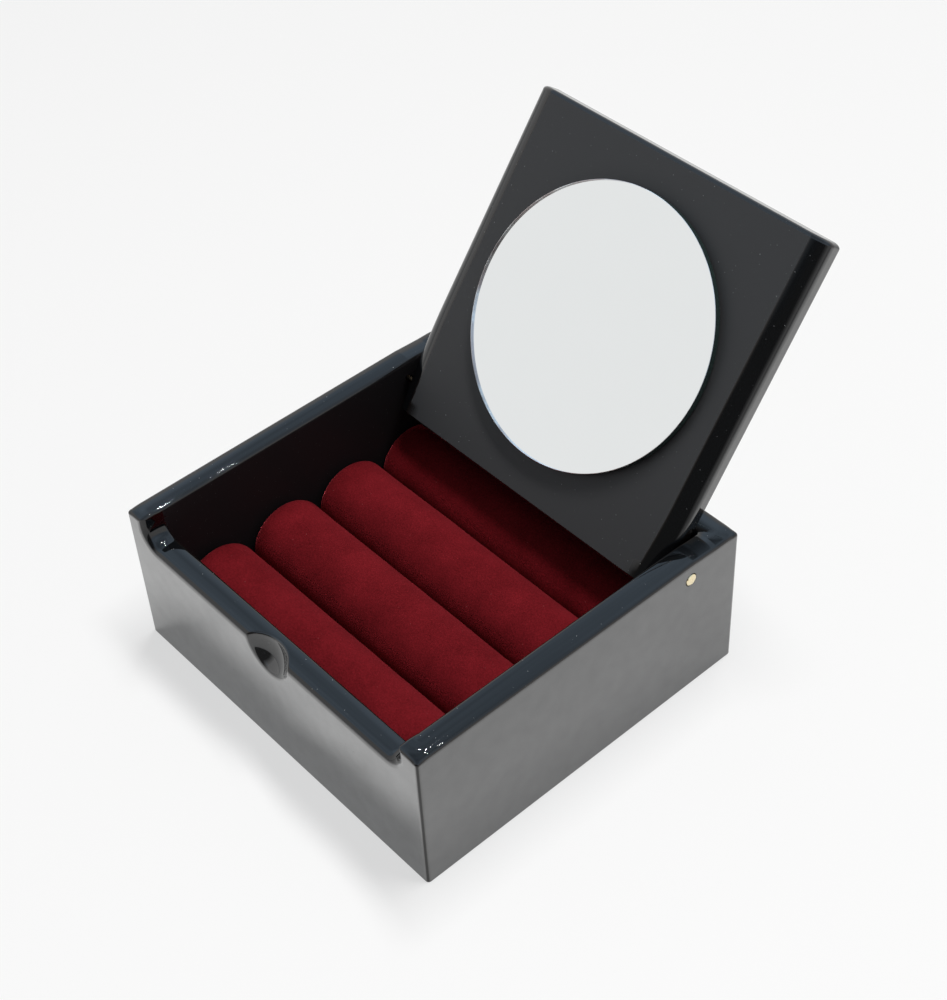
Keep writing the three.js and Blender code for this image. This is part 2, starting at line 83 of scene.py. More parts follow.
def case_walls(x, y, z):
    """Height above the surface of the four walls, below 0 in the wood, in mm."""
    past_front_or_rear = np.maximum(case_front - y, y - case_rear)
    past_inner_sides = np.maximum(inner_left - x, x - inner_right)
    outside = rounded_edge(corner_round, abs(x) - case_half_width, past_front_or_rear)
    off_middle = rounded_edge(
        crown_corner_round,
        abs(x) - (case_half_width + inner_right) / 2,
        abs(y) - (case_rear + inner_half_depth) / 2,
    )
    off_middle = np.clip(off_middle, -crown_half_width, crown_half_width)
    crowned = z + off_middle**2 / (2 * crown_radius)
    swept_top = -rounded_edge(front_fillet, past_inner_sides, front_wall_top - crowned)
    front_wall = rounded_edge(rim_round, y + inner_half_depth, swept_top)
    other_walls = -rounded_edge(inner_corner_round, past_inner_sides, y - inner_half_depth)
    inside = np.minimum(front_wall, other_walls)
    rise = side_wall_rise * np.clip((inner_half_depth - y) / side_wall_rise_length, 0, 1)
    walls = rounded_edge(rim_round, outside, crowned - case_top - rise, inside)
    front_rim = rounded_edge(front_rim_round, outside, np.minimum(swept_top, front_rim_ends - y))
    walls = np.maximum(walls, front_rim)
    from_scoop = np.sqrt(sum((a - b) ** 2 for a, b in zip((x, y, z), scoop_middle)))
    walls = rounded_edge(scoop_edge_round, walls, scoop_radius - from_scoop)
    from_pin = np.hypot(y - pin_y, z - pin_z)
    pin_hole = np.minimum(pin_hole_radius - from_pin, abs(x) - case_half_width + pin_hole_depth)
    walls = rounded_edge(pin_hole_edge_round, walls, pin_hole)
    return rounded_edge(foot_round, walls, -z)


def grid_lines(low, high, wide, *bands):
    """Grid lines from low to high, wide steps apart, with a closer step in (from, to, step) bands."""
    lines, at = [], low
    for start, end, step in [*sorted(bands), (high, high, wide)]:
        lines.extend(np.linspace(at, start, max(1, math.ceil((start - at) / wide)), endpoint=False))
        if end > start:
            count = max(1, round((end - start) / step))
            lines.extend(np.linspace(start, end, count, endpoint=False))
        at = end
    lines.append(high)
    lines = np.array(lines)
    return lines[np.r_[True, np.diff(lines) > 1e-6]]


def slope(height, points, step=0.004):
    """How fast height rises along each axis at the points."""
    rises = []
    for axis in range(3):
        shift = np.zeros(3)
        shift[axis] = step
        ahead, behind = points + shift, points - shift
        rises.append((height(*ahead.T) - height(*behind.T)) / (2 * step))
    return np.stack(rises, 1)


def true_normals(height, points):
    """The surface's own normals at the points."""
    rise = slope(height, points)
    return rise / np.linalg.norm(rise, axis=1)[:, None]


def surface_mesh(height, xs, ys, zs):
    """Points and four-cornered faces on the surface where height is 0, one point per grid cell."""
    grid = np.stack(np.meshgrid(xs, ys, zs, indexing="ij"), -1)
    value = height(grid[..., 0], grid[..., 1], grid[..., 2])
    cells = tuple(n - 1 for n in value.shape)
    total, count = np.zeros((math.prod(cells), 3)), np.zeros(math.prod(cells))
    faces = []
    for axis in range(3):
        second, third = (axis + 1) % 3, (axis + 2) % 3
        near = tuple(slice(None, -1) if a == axis else slice(None) for a in range(3))
        far = tuple(slice(1, None) if a == axis else slice(None) for a in range(3))
        corner = np.argwhere((value[near] < 0) != (value[far] < 0))
        ahead = corner.copy()
        ahead[:, axis] += 1
        before, after = value[tuple(corner.T)], value[tuple(ahead.T)]
        share = (before / (before - after))[:, None]
        crossing = grid[tuple(corner.T)] * (1 - share) + grid[tuple(ahead.T)] * share
        around = []
        for back_second, back_third in ((1, 1), (0, 1), (0, 0), (1, 0)):
            cell = corner.copy()
            cell[:, second] -= back_second
            cell[:, third] -= back_third
            cell = np.ravel_multi_index(tuple(cell.T), cells)
            np.add.at(total, cell, crossing)
            np.add.at(count, cell, 1)
            around.append(cell)
        quads = np.stack(around, 1)
        quads[before > 0] = quads[before > 0][:, ::-1]
        faces.append(quads)
    used = np.flatnonzero(count)
    points = total[used] / count[used][:, None]
    number = np.zeros(len(count), int)
    number[used] = np.arange(len(used))
    # a few short steps down the slope bring each point onto the surface itself
    for _ in range(6):
        rise = slope(height, points)
        step = height(*points.T) / np.maximum((rise**2).sum(1), 0.2)
        points = points - np.clip(step, -0.4, 0.4)[:, None] * rise
    return points, number[np.concatenate(faces)]


def smooth(mesh):
    """Shades all of a mesh's faces smooth."""
    mesh.polygons.foreach_set("use_smooth", np.ones(len(mesh.polygons), bool))


def new_piece(name, mesh, *materials):
    """A piece with that mesh and those materials, in the scene."""
    for material in materials:
        mesh.materials.append(material)
    piece = bpy.data.objects.new(name, mesh)
    bpy.context.scene.collection.objects.link(piece)
    return piece


def lacquered_piece(name, height, xs, ys, zs, finishes, place=Matrix.Identity(4)):
    """A mesh of that surface, with flat faces merged and each point's true normal kept on it.

    finishes(points, normals) gives named values for the points, that the lacquer's look uses."""
    points, quads = surface_mesh(height, xs, ys, zs)
    mesh = bpy.data.meshes.new(name)
    mesh.from_pydata(points.tolist(), [], quads.tolist())
    work = bmesh.new()
    work.from_mesh(mesh)
    work.normal_update()
    # a dict and not a set, because the merging goes by their order
    flat = dict.fromkeys(
        corner for corner, upright in zip(work.verts, true_normals(height, points).tolist())
        if all(face.normal.dot(upright) > 0.999998 for face in corner.link_faces)
    )
    between = [edge for edge in work.edges if all(end in flat for end in edge.verts)]
    bmesh.ops.dissolve_limit(
        work, angle_limit=math.radians(0.02), verts=list(flat), edges=between
    )
    work.to_mesh(mesh)
    work.free()
    points = np.empty((len(mesh.vertices), 3), np.float32)
    mesh.vertices.foreach_get("co", points.ravel())
    points = points.astype(float)
    normals = true_normals(height, points)
    span = 0.12
    bend = sum(
        height(*(points + shift).T) + height(*(points - shift).T) - 2 * height(*points.T)
        for shift in np.eye(3) * span
    ) / span**2
    for label, value in {"edge": np.clip(bend, 0, 1), **finishes(points, normals)}.items():
        stored = mesh.attributes.new(label, "FLOAT", "POINT")
        stored.data.foreach_set("value", value.astype(np.float32))
    mesh.transform(place @ Matrix.Scale(MM, 4))
    turn = np.array(place.to_3x3())
    smooth(mesh)
    mesh.normals_split_custom_set_from_vertices((normals @ turn.T).tolist())
    return new_piece(name, mesh)


side_gloss, scoop_gloss = 0.64, 0.35


def case_finishes(points, normals):
    """The outer faces are polished to a brighter gloss than the rims; the inside is left dull."""
    facing = abs(normals[:, :2])
    upright = np.clip((facing.max(1) - 0.87) / 0.06, 0, 1)
    x, y, z = points.T
    outside = (abs(x) > case_half_width - 0.5) | (y < case_front + 0.5) | (y > case_rear - 0.5)
    inside = (x > inner_left - 0.5) & (x < inner_right + 0.5) & (abs(y) < inner_half_depth + 0.5)
    side_share = np.where(facing[:, 0] > facing[:, 1], side_gloss, 1.0)
    from_scoop = np.linalg.norm(points - scoop_middle, axis=1)
    in_scoop = scoop_gloss * np.clip((scoop_radius + 0.4 - from_scoop) / 0.3, 0, 1)
    return {
        "gloss": np.maximum(upright * outside * side_share, in_scoop),
        "satin": upright * inside * (in_scoop == 0),
    }


case_shell = lacquered_piece(
    "case_shell",
    case_walls,
    grid_lines(
        -56, 56, 7,
        (-55.4, -52.6, 0.3), (-52.6, -50.3, 0.8), (-50.3, -42.4, 0.36), (-9.6, 9.6, 0.3),
        (42.4, 49.6, 0.36), (49.6, 52.6, 1.0), (52.6, 55.4, 0.3),
    ),
    grid_lines(
        -52, 52.6, 7,
        (-51.2, -42.6, 0.3), (33.0, 37.4, 0.22), (42.6, 45.8, 0.3), (45.8, 48.8, 0.9),
        (48.8, 51.8, 0.3),
    ),
    grid_lines(
        -0.8, 45.6, 6,
        (-0.2, 0.8, 0.2), (27.4, 37.4, 0.3), (37.4, 42.4, 0.24), (42.4, 44.8, 0.24),
    ),
    case_finishes,
)


def join(node, inputs):
    """Sets a shader node's inputs, or joins them to other nodes."""
    for name, value in inputs.items():
        if isinstance(value, bpy.types.NodeSocket):
            node.id_data.links.new(value, node.inputs[name])
        else:
            node.inputs[name].default_value = value


def put(tree, kind, inputs=None, **settings):
    """A shader node with its settings, its inputs set or joined to other nodes."""
    made = tree.nodes.new(kind)
    for name, value in settings.items():
        setattr(made, name, value)
    join(made, inputs or {})
    return made


def maths(tree, operation, *values):
    """What that operation makes of the values."""
    return put(tree, "ShaderNodeMath", dict(enumerate(values)), operation=operation).outputs[0]


def ranged(tree, value, low, high, at_low=0.0, at_high=1.0, **settings):
    """at_low where value is low or less, at_high where it is high or more, and even in between."""
    inputs = {"Value": value, 1: low, 2: high, 3: at_low, 4: at_high}
    return put(tree, "ShaderNodeMapRange", inputs, **settings).outputs[0]


def mixed(tree, share, first, second):
    """The colour that lies between first and second by that share."""
    inputs = {"Factor": share, 6: first, 7: second}
    return put(tree, "ShaderNodeMix", inputs, data_type="RGBA").outputs[2]


def spot_on(tree):
    """Where a point lies on the piece."""
    return put(tree, "ShaderNodeTexCoord").outputs["Object"]


def clouds(tree, scale, detail, **more):
    """Noise that belongs to the piece, with that many clouds to the metre."""
    inputs = {"Vector": spot_on(tree), "Scale": scale, "Detail": detail, **more}
    return put(tree, "ShaderNodeTexNoise", inputs).outputs["Fac"]


def bumps(tree, height, strength, distance):
    """The normal over bumps of that height."""
    inputs = {"Height": height, "Strength": strength, "Distance": distance}
    return put(tree, "ShaderNodeBump", inputs).outputs[0]


def group(name, inputs, outputs):
    """An empty node group with those inputs and outputs: (tree, its inputs, its output node)."""
    tree = bpy.data.node_groups.new(name, "ShaderNodeTree")
    for label, kind, value in inputs:
        tree.interface.new_socket(label, in_out="INPUT", socket_type=kind).default_value = value
    for label, kind in outputs:
        tree.interface.new_socket(label, in_out="OUTPUT", socket_type=kind)
    return tree, tree.nodes.new("NodeGroupInput").outputs, tree.nodes.new("NodeGroupOutput")


def use(tree, name, inputs):
    """A node group placed in a material, with its own values."""
    return put(tree, "ShaderNodeGroup", inputs, node_tree=bpy.data.node_groups[name]).outputs


def finish(name):
    """A new material: (material, its node tree, its Principled BSDF)."""
    material = bpy.data.materials.new(name)
    material.use_nodes = True
    tree = material.node_tree
    return material, tree, tree.nodes["Principled BSDF"]


# Dust lies on all the lacquer and the velvet as pale specks up to a third of a mm wide, most of
# them faint.
dust, dust_in, dust_out = group(
    "Dust",
    [("Spacing", "NodeSocketFloat", 1.5), ("Size", "NodeSocketFloat", 0.15)],
    [("Specks", "NodeSocketFloat")],
)
per_metre = maths(dust, "DIVIDE", 1000.0, dust_in["Spacing"])
grains = put(dust, "ShaderNodeTexVoronoi", {"Vector": spot_on(dust), "Scale": per_metre})
reach = maths(dust, "DIVIDE", dust_in["Size"], dust_in["Spacing"])
speck = ranged(
    dust, grains.outputs["Distance"], 0.0, reach, 1.0, 0.0, interpolation_type="SMOOTHSTEP"
)
faintness = put(dust, "ShaderNodeSeparateColor", {0: grains.outputs["Color"]})
strength = maths(dust, "POWER", faintness.outputs[0], 2.5)
join(dust_out, {"Specks": maths(dust, "MULTIPLY", speck, strength)})

# Lacquer rubbed down and polished by hand: a slow ripple, a roughness that drifts a little, and
# a shine that is a little cloudy.
polish, polish_in, polish_out = group(
    "Hand polish",
    [
        ("Smoothest", "NodeSocketFloat", 0.02),
        ("Dullest", "NodeSocketFloat", 0.06),
        ("Ripple", "NodeSocketFloat", 1.0),
    ],
    [
        ("Roughness", "NodeSocketFloat"), ("Height", "NodeSocketFloat"),
        ("Film", "NodeSocketFloat"),
    ],
)
cloudy = clouds(polish, 240.0, 4.0)
join(polish_out, {
    "Roughness": ranged(polish, cloudy, 0.35, 0.7, polish_in["Smoothest"], polish_in["Dullest"]),
    "Height": maths(polish, "MULTIPLY", clouds(polish, 60.0, 1.0), polish_in["Ripple"]),
    "Film": ranged(polish, cloudy, 0.3, 0.7, 1.06, 0.92),
})


def lacquer(name, dull_colour, dull_mirroring):
    """Black lacquer with dust on it, a little brown where its edges are rubbed."""
    material, tree, shader = finish(name)
    edge, gloss, satin = (
        put(tree, "ShaderNodeAttribute", attribute_name=label).outputs["Fac"]
        for label in ("edge", "gloss", "satin")
    )
    rubbed = ranged(tree, edge, 0.5, 1.0, 0.0, 0.6)
    black = mixed(tree, rubbed, (0.0032, 0.0036, 0.0042, 1), (0.01, 0.0075, 0.006, 1))
    colour = mixed(tree, satin, black, dull_colour)
    specks = use(tree, "Dust", {"Spacing": 1.5, "Size": 0.16})["Specks"]
    polished = use(tree, "Hand polish", {"Smoothest": 0.028, "Dullest": 0.034, "Ripple": 1.0})
    dullness = put(tree, "ShaderNodeMix", {"Factor": satin, 2: polished["Roughness"], 3: 0.5})
    filmed = maths(tree, "MULTIPLY", gloss, polished["Film"])
    clear = maths(tree, "SUBTRACT", 1.0, specks)
    join(shader, {
        "Base Color": mixed(tree, specks, colour, (0.5, 0.52, 0.53, 1)),
        "Roughness": dullness.outputs[0],
        "IOR": 1.5,
        "Specular IOR Level": ranged(tree, satin, 0.0, 1.0, 0.5, dull_mirroring),
        "Normal": bumps(tree, polished["Height"], 0.15, 0.0006),
        "Coat Weight": maths(tree, "MULTIPLY", filmed, clear),
        "Coat IOR": 2.2,
        "Coat Roughness": 0.015,
    })
    return material


case_shell.data.materials.append(lacquer("case lacquer", (0.014, 0.013, 0.014, 1), 0.15))
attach(case_shell, "case")
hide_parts("front_wall", "rear_wall", "left_wall", "right_wall")


# Underside. A plywood board let in between the walls, stained dark, with a sheet of felt glued
# under it that keeps the lacquer off the table.

plywood, tree, shader = finish("stained plywood")
along_grain = put(
    tree, "ShaderNodeMapping", {"Vector": spot_on(tree), "Scale": (40.0, 700.0, 700.0)}
)
grain = put(
    tree, "ShaderNodeTexNoise", {"Vector": along_grain.outputs[0], "Scale": 1.0, "Detail": 5.0}
).outputs["Fac"]
join(shader, {
    "Base Color": mixed(tree, grain, (0.008, 0.006, 0.005, 1), (0.024, 0.016, 0.011, 1)),
    "Normal": bumps(tree, grain, 0.4, 0.0002),
    "Roughness": 0.55,
})


def refinish(node, material):
    """Gives a piece of the solid model that material."""
    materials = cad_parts[node].data.materials
    materials.clear()
    materials.append(material)


refinish("base_board", plywood)

# Wool felt: pressed fibres, so a fuzzy surface and a slightly uneven thickness.
felt, tree, shader = finish("black felt")
fibres = clouds(tree, 2600.0, 6.0, Roughness=0.7)
join(shader, {
    "Base Color": mixed(tree, fibres, (0.004, 0.004, 0.005, 1), (0.022, 0.022, 0.024, 1)),
    "Normal": bumps(tree, fibres, 0.8, 0.0003),
    "Roughness": 0.95,
    "Sheen Weight": 0.3,
})


def mesh_from(work, name):
    """The mesh that was built in work."""
    mesh = bpy.data.meshes.new(name)
    work.to_mesh(mesh)
    work.free()
    return mesh


felt_edge_drop, felt_edge_width, felt_unevenness = 0.3 * MM, 0.8 * MM, 0.06 * MM
low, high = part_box("base_felt")
sheet = bmesh.new()
bmesh.ops.create_grid(sheet, x_segments=64, y_segments=60, size=0.5)
for corner in sheet.verts:
    x = low.x + (corner.co.x + 0.5) * (high.x - low.x)
    y = low.y + (corner.co.y + 0.5) * (high.y - low.y)
    from_edge = min(x - low.x, high.x - x, y - low.y, high.y - y)
    rounding = felt_edge_drop * max(0.0, 1 - from_edge / felt_edge_width)
    uneven = felt_unevenness * (1 + noise.noise(Vector((x, y, 0)) * 300))
    corner.co = Vector((x, y, low.z + rounding + uneven))
top = bmesh.ops.duplicate(sheet, geom=sheet.faces[:])
for corner in (part for part in top["geom"] if isinstance(part, bmesh.types.BMVert)):
    corner.co.z = high.z - (corner.co.z - low.z)
bmesh.ops.bridge_loops(sheet, edges=[e for e in sheet.edges if e.is_boundary])
bmesh.ops.recalc_face_normals(sheet, faces=sheet.faces)
felt_mesh = mesh_from(sheet, "felt_sheet")
smooth(felt_mesh)
felt_sheet = new_piece("felt_sheet", felt_mesh, felt)
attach(felt_sheet, "case")
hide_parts("base_felt")


# Ring rolls. Four foam rods wrapped in dark red velvet, glued side by side to a card tray that
# drops into the case. Rings sit in the valleys between the rolls.

card, tree, shader = finish("tray card")
pulp = clouds(tree, 900.0, 4.0)
join(shader, {
    "Base Color": mixed(tree, pulp, (0.02, 0.003, 0.004, 1), (0.05, 0.008, 0.01, 1)),
    "Roughness": 0.9,
})
refinish("tray_board", card)

# Velvet: short upright pile. It darkens where it leans away and shows a pale sheen at a slant.
pile, pile_in, pile_out = group(
    "Pile",
    [
        ("Dark", "NodeSocketColor", (0.05, 0.003, 0.006, 1)),
        ("Light", "NodeSocketColor", (0.16, 0.009, 0.017, 1)),
    ],
    [("Colour", "NodeSocketColor"), ("Height", "NodeSocketFloat")],
)
tips = clouds(pile, 2000.0, 4.0, Roughness=0.7)
lean = clouds(pile, 110.0, 3.0, Roughness=0.55)
amount = ranged(pile, maths(pile, "MULTIPLY_ADD", lean, 0.6, tips), 0.5, 1.1)
join(pile_out, {"Colour": mixed(pile, amount, pile_in["Dark"], pile_in["Light"]), "Height": tips})

velvet, tree, shader = finish("red velvet")
velvet_pile = use(
    tree, "Pile", {"Dark": (0.085, 0.0043, 0.0062, 1), "Light": (0.206, 0.0116, 0.0172, 1)}
)
lint = use(tree, "Dust", {"Spacing": 2.0, "Size": 0.16})["Specks"]
join(shader, {
    "Base Color": mixed(tree, lint, velvet_pile["Colour"], (0.42, 0.16, 0.16, 1)),
    "Normal": bumps(tree, velvet_pile["Height"], 0.6, 0.00025),
    "Roughness": 0.95,
    "Specular IOR Level": 0.1,
    "Sheen Weight": 0.5,
    "Sheen Roughness": 0.35,
    "Sheen Tint": (1.0, 0.12, 0.15, 1),
})

# all in mm
roll_radius = 10.88
roll_half_length = 47.9
roll_middle = -0.25
roll_end_round, roll_end_bulge = 2.4, 0.25
roll_axis_z = 12.325
roll_glue_z = 5.8
roll_places = (-33.0, -11.0, 11.0, 33.0)
roll_lifts = (0.2, 0.8, 0.4, 0.1)
ring_count, side_count = 150, 128


def roll_outline():
    """(along, out) from the middle of one end, over its rounded edge, to the middle of the other."""
    end = [
        (-roll_half_length - roll_end_bulge * (1 - r**2), r * (roll_radius - roll_end_round))
        for r in np.linspace(0.02, 1, 10)[:-1]
    ]
    end += [
        (
            -roll_half_length + roll_end_round * (1 - math.cos(a)),
            roll_radius - roll_end_round * (1 - math.sin(a)),
        )
        for a in np.linspace(0, math.pi / 2, 9)
    ]
    straight = roll_half_length - roll_end_round
    middle = [(x, roll_radius) for x in np.linspace(-straight, straight, ring_count)[1:-1]]
    return end + middle + [(-x, r) for x, r in reversed(end)]


def velvet_roll(name, y, lift):
    """A wrapped roll: round and a little uneven, with its underside flat on the tray."""
    outline = roll_outline()
    points, faces = [], []
    for along, out in outline:
        for i in range(side_count):
            angle = 2 * math.pi * i / side_count
            direction = Vector((0, math.sin(angle), math.cos(angle)))
            spot = Vector((roll_middle + along, y, roll_axis_z + lift)) + direction * out
            soft = 0.10 * noise.noise(spot * 0.09) + 0.035 * noise.noise(spot * 0.4)
            spot += direction * (soft - 0.08) * min(1.0, out / roll_radius)
            spot.z = max(spot.z, roll_glue_z)
            points.append(spot * MM)
    for ring in range(len(outline) - 1):
        for i in range(side_count):
            j = (i + 1) % side_count
            start = ring * side_count
            faces.append((start + i, start + j, start + side_count + j, start + side_count + i))
    last = (len(outline) - 1) * side_count
    faces.append(tuple(reversed(range(side_count))))
    faces.append(tuple(range(last, last + side_count)))
    mesh = bpy.data.meshes.new(name)
    mesh.from_pydata(points, [], faces)
    mesh.validate()
    smooth(mesh)
    return new_piece(name, mesh, velvet)


for number, (y, lift) in enumerate(zip(roll_places, roll_lifts), start=1):
    roll = velvet_roll(f"velvet_roll_{number}", y, lift)
    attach(roll, "case")
    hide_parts(f"velvet_cover_{number}", f"foam_core_{number}")


# Pivot pins. Turned brass, pushed in from outside through each side wall into the lid's edge,
# with a low domed head that stands a little out of the lacquer. The shank is coloured near
# black as painted shade, where it shows in the gap between wall and lid.

brass, tree, shader = finish("brass")
tarnish = clouds(tree, 1500.0, 3.0)
polished_brass = mixed(tree, tarnish, (0.84, 0.70, 0.42, 1), (0.98, 0.88, 0.64, 1))
across = put(tree, "ShaderNodeSeparateXYZ", {0: spot_on(tree)}).outputs["X"]
# painted shade: everything short of the head, the shank in the gap between wall and lid, is coloured
# near black
head_out_of_painted_shade = ranged(tree, maths(tree, "ABSOLUTE", across), 0.0538, 0.0542)
join(shader, {
    "Base Color": mixed(tree, head_out_of_painted_shade, (0.03, 0.02, 0.012, 1), polished_brass),
    "Roughness": ranged(tree, tarnish, 0.3, 0.7, 0.18, 0.4),
    "Metallic": 1.0,
})

# (distance out from the pin's axis, distance from the middle of the case), in mm
pin_outline = [
    (0.0, 40.5), (0.45, 40.5), (0.8, 40.9), (0.8, 54.0), (1.5, 54.0), (1.6, 54.1),
    (1.6, 54.9), (1.56, 55.05), (1.42, 55.17), (1.1, 55.25), (0.6, 55.29), (0.0, 55.3),
]
pin_sides = 48
for name, side in (("brass_pin_left", -1), ("brass_pin_right", 1)):
    pin = bmesh.new()
    rings = [
        [
            pin.verts.new((
                side * along * MM,
                (pin_y + out * math.sin(math.tau * i / pin_sides)) * MM,
                (pin_z + out * math.cos(math.tau * i / pin_sides)) * MM,
            ))
            for i in range(pin_sides if out else 1)
        ]
        for out, along in pin_outline
    ]
    for lower, upper in zip(rings, rings[1:]):
        for i in range(pin_sides):
            j = (i + 1) % pin_sides
            corners = [ring[k % len(ring)] for ring, k in zip(
                (lower, lower, upper, upper), (i, j, j, i)
            )]
            pin.faces.new(list(dict.fromkeys(corners)))
    bmesh.ops.recalc_face_normals(pin, faces=pin.faces)
    mesh = mesh_from(pin, name)
    smooth(mesh)
    mesh.set_sharp_from_angle(angle=math.radians(50))
    brass_pin = new_piece(name, mesh, brass)
    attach(brass_pin, "case")
    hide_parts(name.replace("brass", "pivot"))


# Lid. One board, lacquered black all over, drawn closed about the pivot and then swung open.
# Its lower side edges are rounded to seat in the front wall's fillets, and its rear end is an
# arc about the pivot, so that it clears the rear wall as it turns.

# all in mm, from the pivot
lid_half_width = 47.6
lid_under, lid_outer = -2.4, 4.6
lid_front = -84.55
lid_side_round, lid_side_round_width = 3.95, 8.3
lid_side_drop = 0.35
lid_end_radius = 8.4
lid_ease_length, lid_ease_width = 22.0, 1.4
lid_corner_round = 2.5
lid_crease_round, lid_outer_round, lid_end_round = 0.05, 1.1, 0.4

# the left side, which is a little fuller, slants by so much per mm and turns in towards the rear
left_half_width, left_slant = 48.55, 0.0062
left_turns_at, left_turn = -20.0, 0.0118

lid_swing = math.radians(126.936)
lid_open = Matrix.Translation((0, pivot_y * MM, pivot_z * MM)) @ Matrix.Rotation(
    -lid_swing, 4, "X"
)


def lid_board(x, y, z):
    """Height above the lid's surface, below 0 in the wood, in mm."""
    eased = np.clip((y - (lid_end_radius - lid_ease_length)) / lid_ease_length, 0, 1)
    right = lid_half_width - lid_ease_width * eased**2
    turned_in = left_turn * np.maximum(y - left_turns_at, 0) ** 1.5
    left = left_half_width + left_slant * y - turned_in
    side = np.maximum(x - right, -x - left)
    flattened = side * lid_side_round / lid_side_round_width
    curved = rounded_edge(lid_side_round, flattened, lid_under - lid_side_drop - z)
    lower_edges = rounded_edge(lid_crease_round, curved, lid_under - z)
    board = rounded_edge(lid_outer_round, lower_edges, z - lid_outer, lid_front - y)
    corners = rounded_edge(lid_corner_round, side, y - lid_end_radius)
    rear_end = np.hypot(np.maximum(y, 0), z) - lid_end_radius
    return rounded_edge(lid_end_round, np.maximum(board, corners), rear_end)


def lid_finishes(points, normals):
    """The side faces are polished bright; the underside is only rubbed down."""
    return {
        "gloss": np.clip((abs(normals[:, 0]) - 0.86) / 0.08, 0, 1) * side_gloss,
        "satin": np.clip((-normals[:, 2] - 0.9965) / 0.002, 0, 1),
    }


lid_shell = lacquered_piece(
    "lid_shell",
    lid_board,
    grid_lines(
        -49.2, 48.4, 7,
        (-48.8, -43.8, 0.3), (-43.8, -42.8, 0.1), (-42.8, -42.0, 0.3),
        (41.6, 42.3, 0.3), (42.3, 43.1, 0.1), (43.1, 48.0, 0.3),
    ),
    grid_lines(-86, 9.4, 7, (-85.0, -82.8, 0.25), (-20.0, 2.0, 2.0), (2.0, 9.0, 0.25)),
    grid_lines(-3.4, 5.6, 1, (-2.8, 2.6, 0.3), (2.6, 5.0, 0.25)),
    lid_finishes,
    lid_open,
)
lid_shell.data.materials.append(lacquer("lid lacquer", (0.036, 0.036, 0.037, 1), 0.36))
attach(lid_shell, "lid")
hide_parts("lid_board")


# Mirror. A round of glass, silvered behind, with a cut edge, stuck to the lid's underside with
# a disc of foam tape. The silver lies under the glass, so that the mirror is modelled as a
# shallow dish: silver in its bottom, and the cut edge seen pale from within and dark outside.

silvered, tree, shader = finish("silvered glass")
haze = clouds(tree, 90.0, 3.0)
join(shader, {
    "Base Color": mixed(tree, haze, (0.755, 0.775, 0.775, 1), (0.77, 0.785, 0.785, 1)),
    "Roughness": ranged(tree, haze, 0.3, 0.7, 0.0, 0.03),
    "Metallic": 1.0,
})

inner_edge, tree, shader = finish("cut edge from within")
patchy = ranged(tree, clouds(tree, 130.0, 4.0), 0.42, 0.58)
join(shader, {
    "Base Color": mixed(tree, patchy, (0.62, 0.54, 0.53, 1), (1.0, 0.99, 0.98, 1)),
    "Metallic": 1.0,
    "Roughness": 0.35,
})

cut_glass, tree, shader = finish("cut glass edge")
ripples = clouds(tree, 1800.0, 4.0)
join(shader, {
    "Base Color": mixed(tree, ripples, (0.004, 0.008, 0.008, 1), (0.03, 0.05, 0.045, 1)),
    "Normal": bumps(tree, ripples, 0.5, 0.0001),
    "Roughness": 0.3,
})

# all in mm, from the pivot
mirror_radius = 36.4
mirror_wider, mirror_shorter = 1.007, 0.993
mirror_x, mirror_y = -0.15, -38.7
mirror_back = lid_under - 0.64
mirror_face = mirror_back - 2.0
silver_depth, glass_rim = 0.6, 0.1
mirror_outline = [
    (mirror_radius - glass_rim, mirror_face + silver_depth),
    (mirror_radius - glass_rim, mirror_face),
    (mirror_radius, mirror_face + 0.05),
    (mirror_radius, mirror_back - 0.1),
    (mirror_radius - 0.1, mirror_back),
]
mirror_sides = 240
disc = bmesh.new()
rings = [
    [
        disc.verts.new((
            (mirror_x + mirror_wider * out * math.cos(math.tau * i / mirror_sides)) * MM,
            (mirror_y + mirror_shorter * out * math.sin(math.tau * i / mirror_sides)) * MM,
            z * MM,
        ))
        for i in range(mirror_sides)
    ]
    for out, z in mirror_outline
]
disc.faces.new(list(reversed(rings[0]))).material_index = 0
disc.faces.new(rings[-1]).material_index = 0
for level, (lower, upper) in enumerate(zip(rings, rings[1:])):
    for i in range(mirror_sides):
        j = (i + 1) % mirror_sides
        face = disc.faces.new((lower[i], lower[j], upper[j], upper[i]))
        face.material_index = 1 if level < 2 else 2
bmesh.ops.transform(disc, matrix=lid_open, verts=disc.verts)
mesh = mesh_from(disc, "round_mirror")
smooth(mesh)
mesh.set_sharp_from_angle(angle=math.radians(20))
round_mirror = new_piece("round_mirror", mesh, silvered, inner_edge, cut_glass)
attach(round_mirror, "lid")
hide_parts("mirror_glass")

tape, tree, shader = finish("foam tape")
cells = put(tree, "ShaderNodeTexVoronoi", {"Vector": spot_on(tree), "Scale": 3000.0})
join(shader, {
    "Base Color": mixed(
        tree, cells.outputs["Distance"], (0.62, 0.6, 0.54, 1), (0.75, 0.73, 0.68, 1)
    ),
    "Roughness": 0.85,
})
refinish("mirror_pad", tape)


# Mother-of-pearl. Thin slips of shell sawn to shape and let into the lid's outer face, then
# rubbed down level with the lacquer: a border line, corner fans and a rosette in a ring.

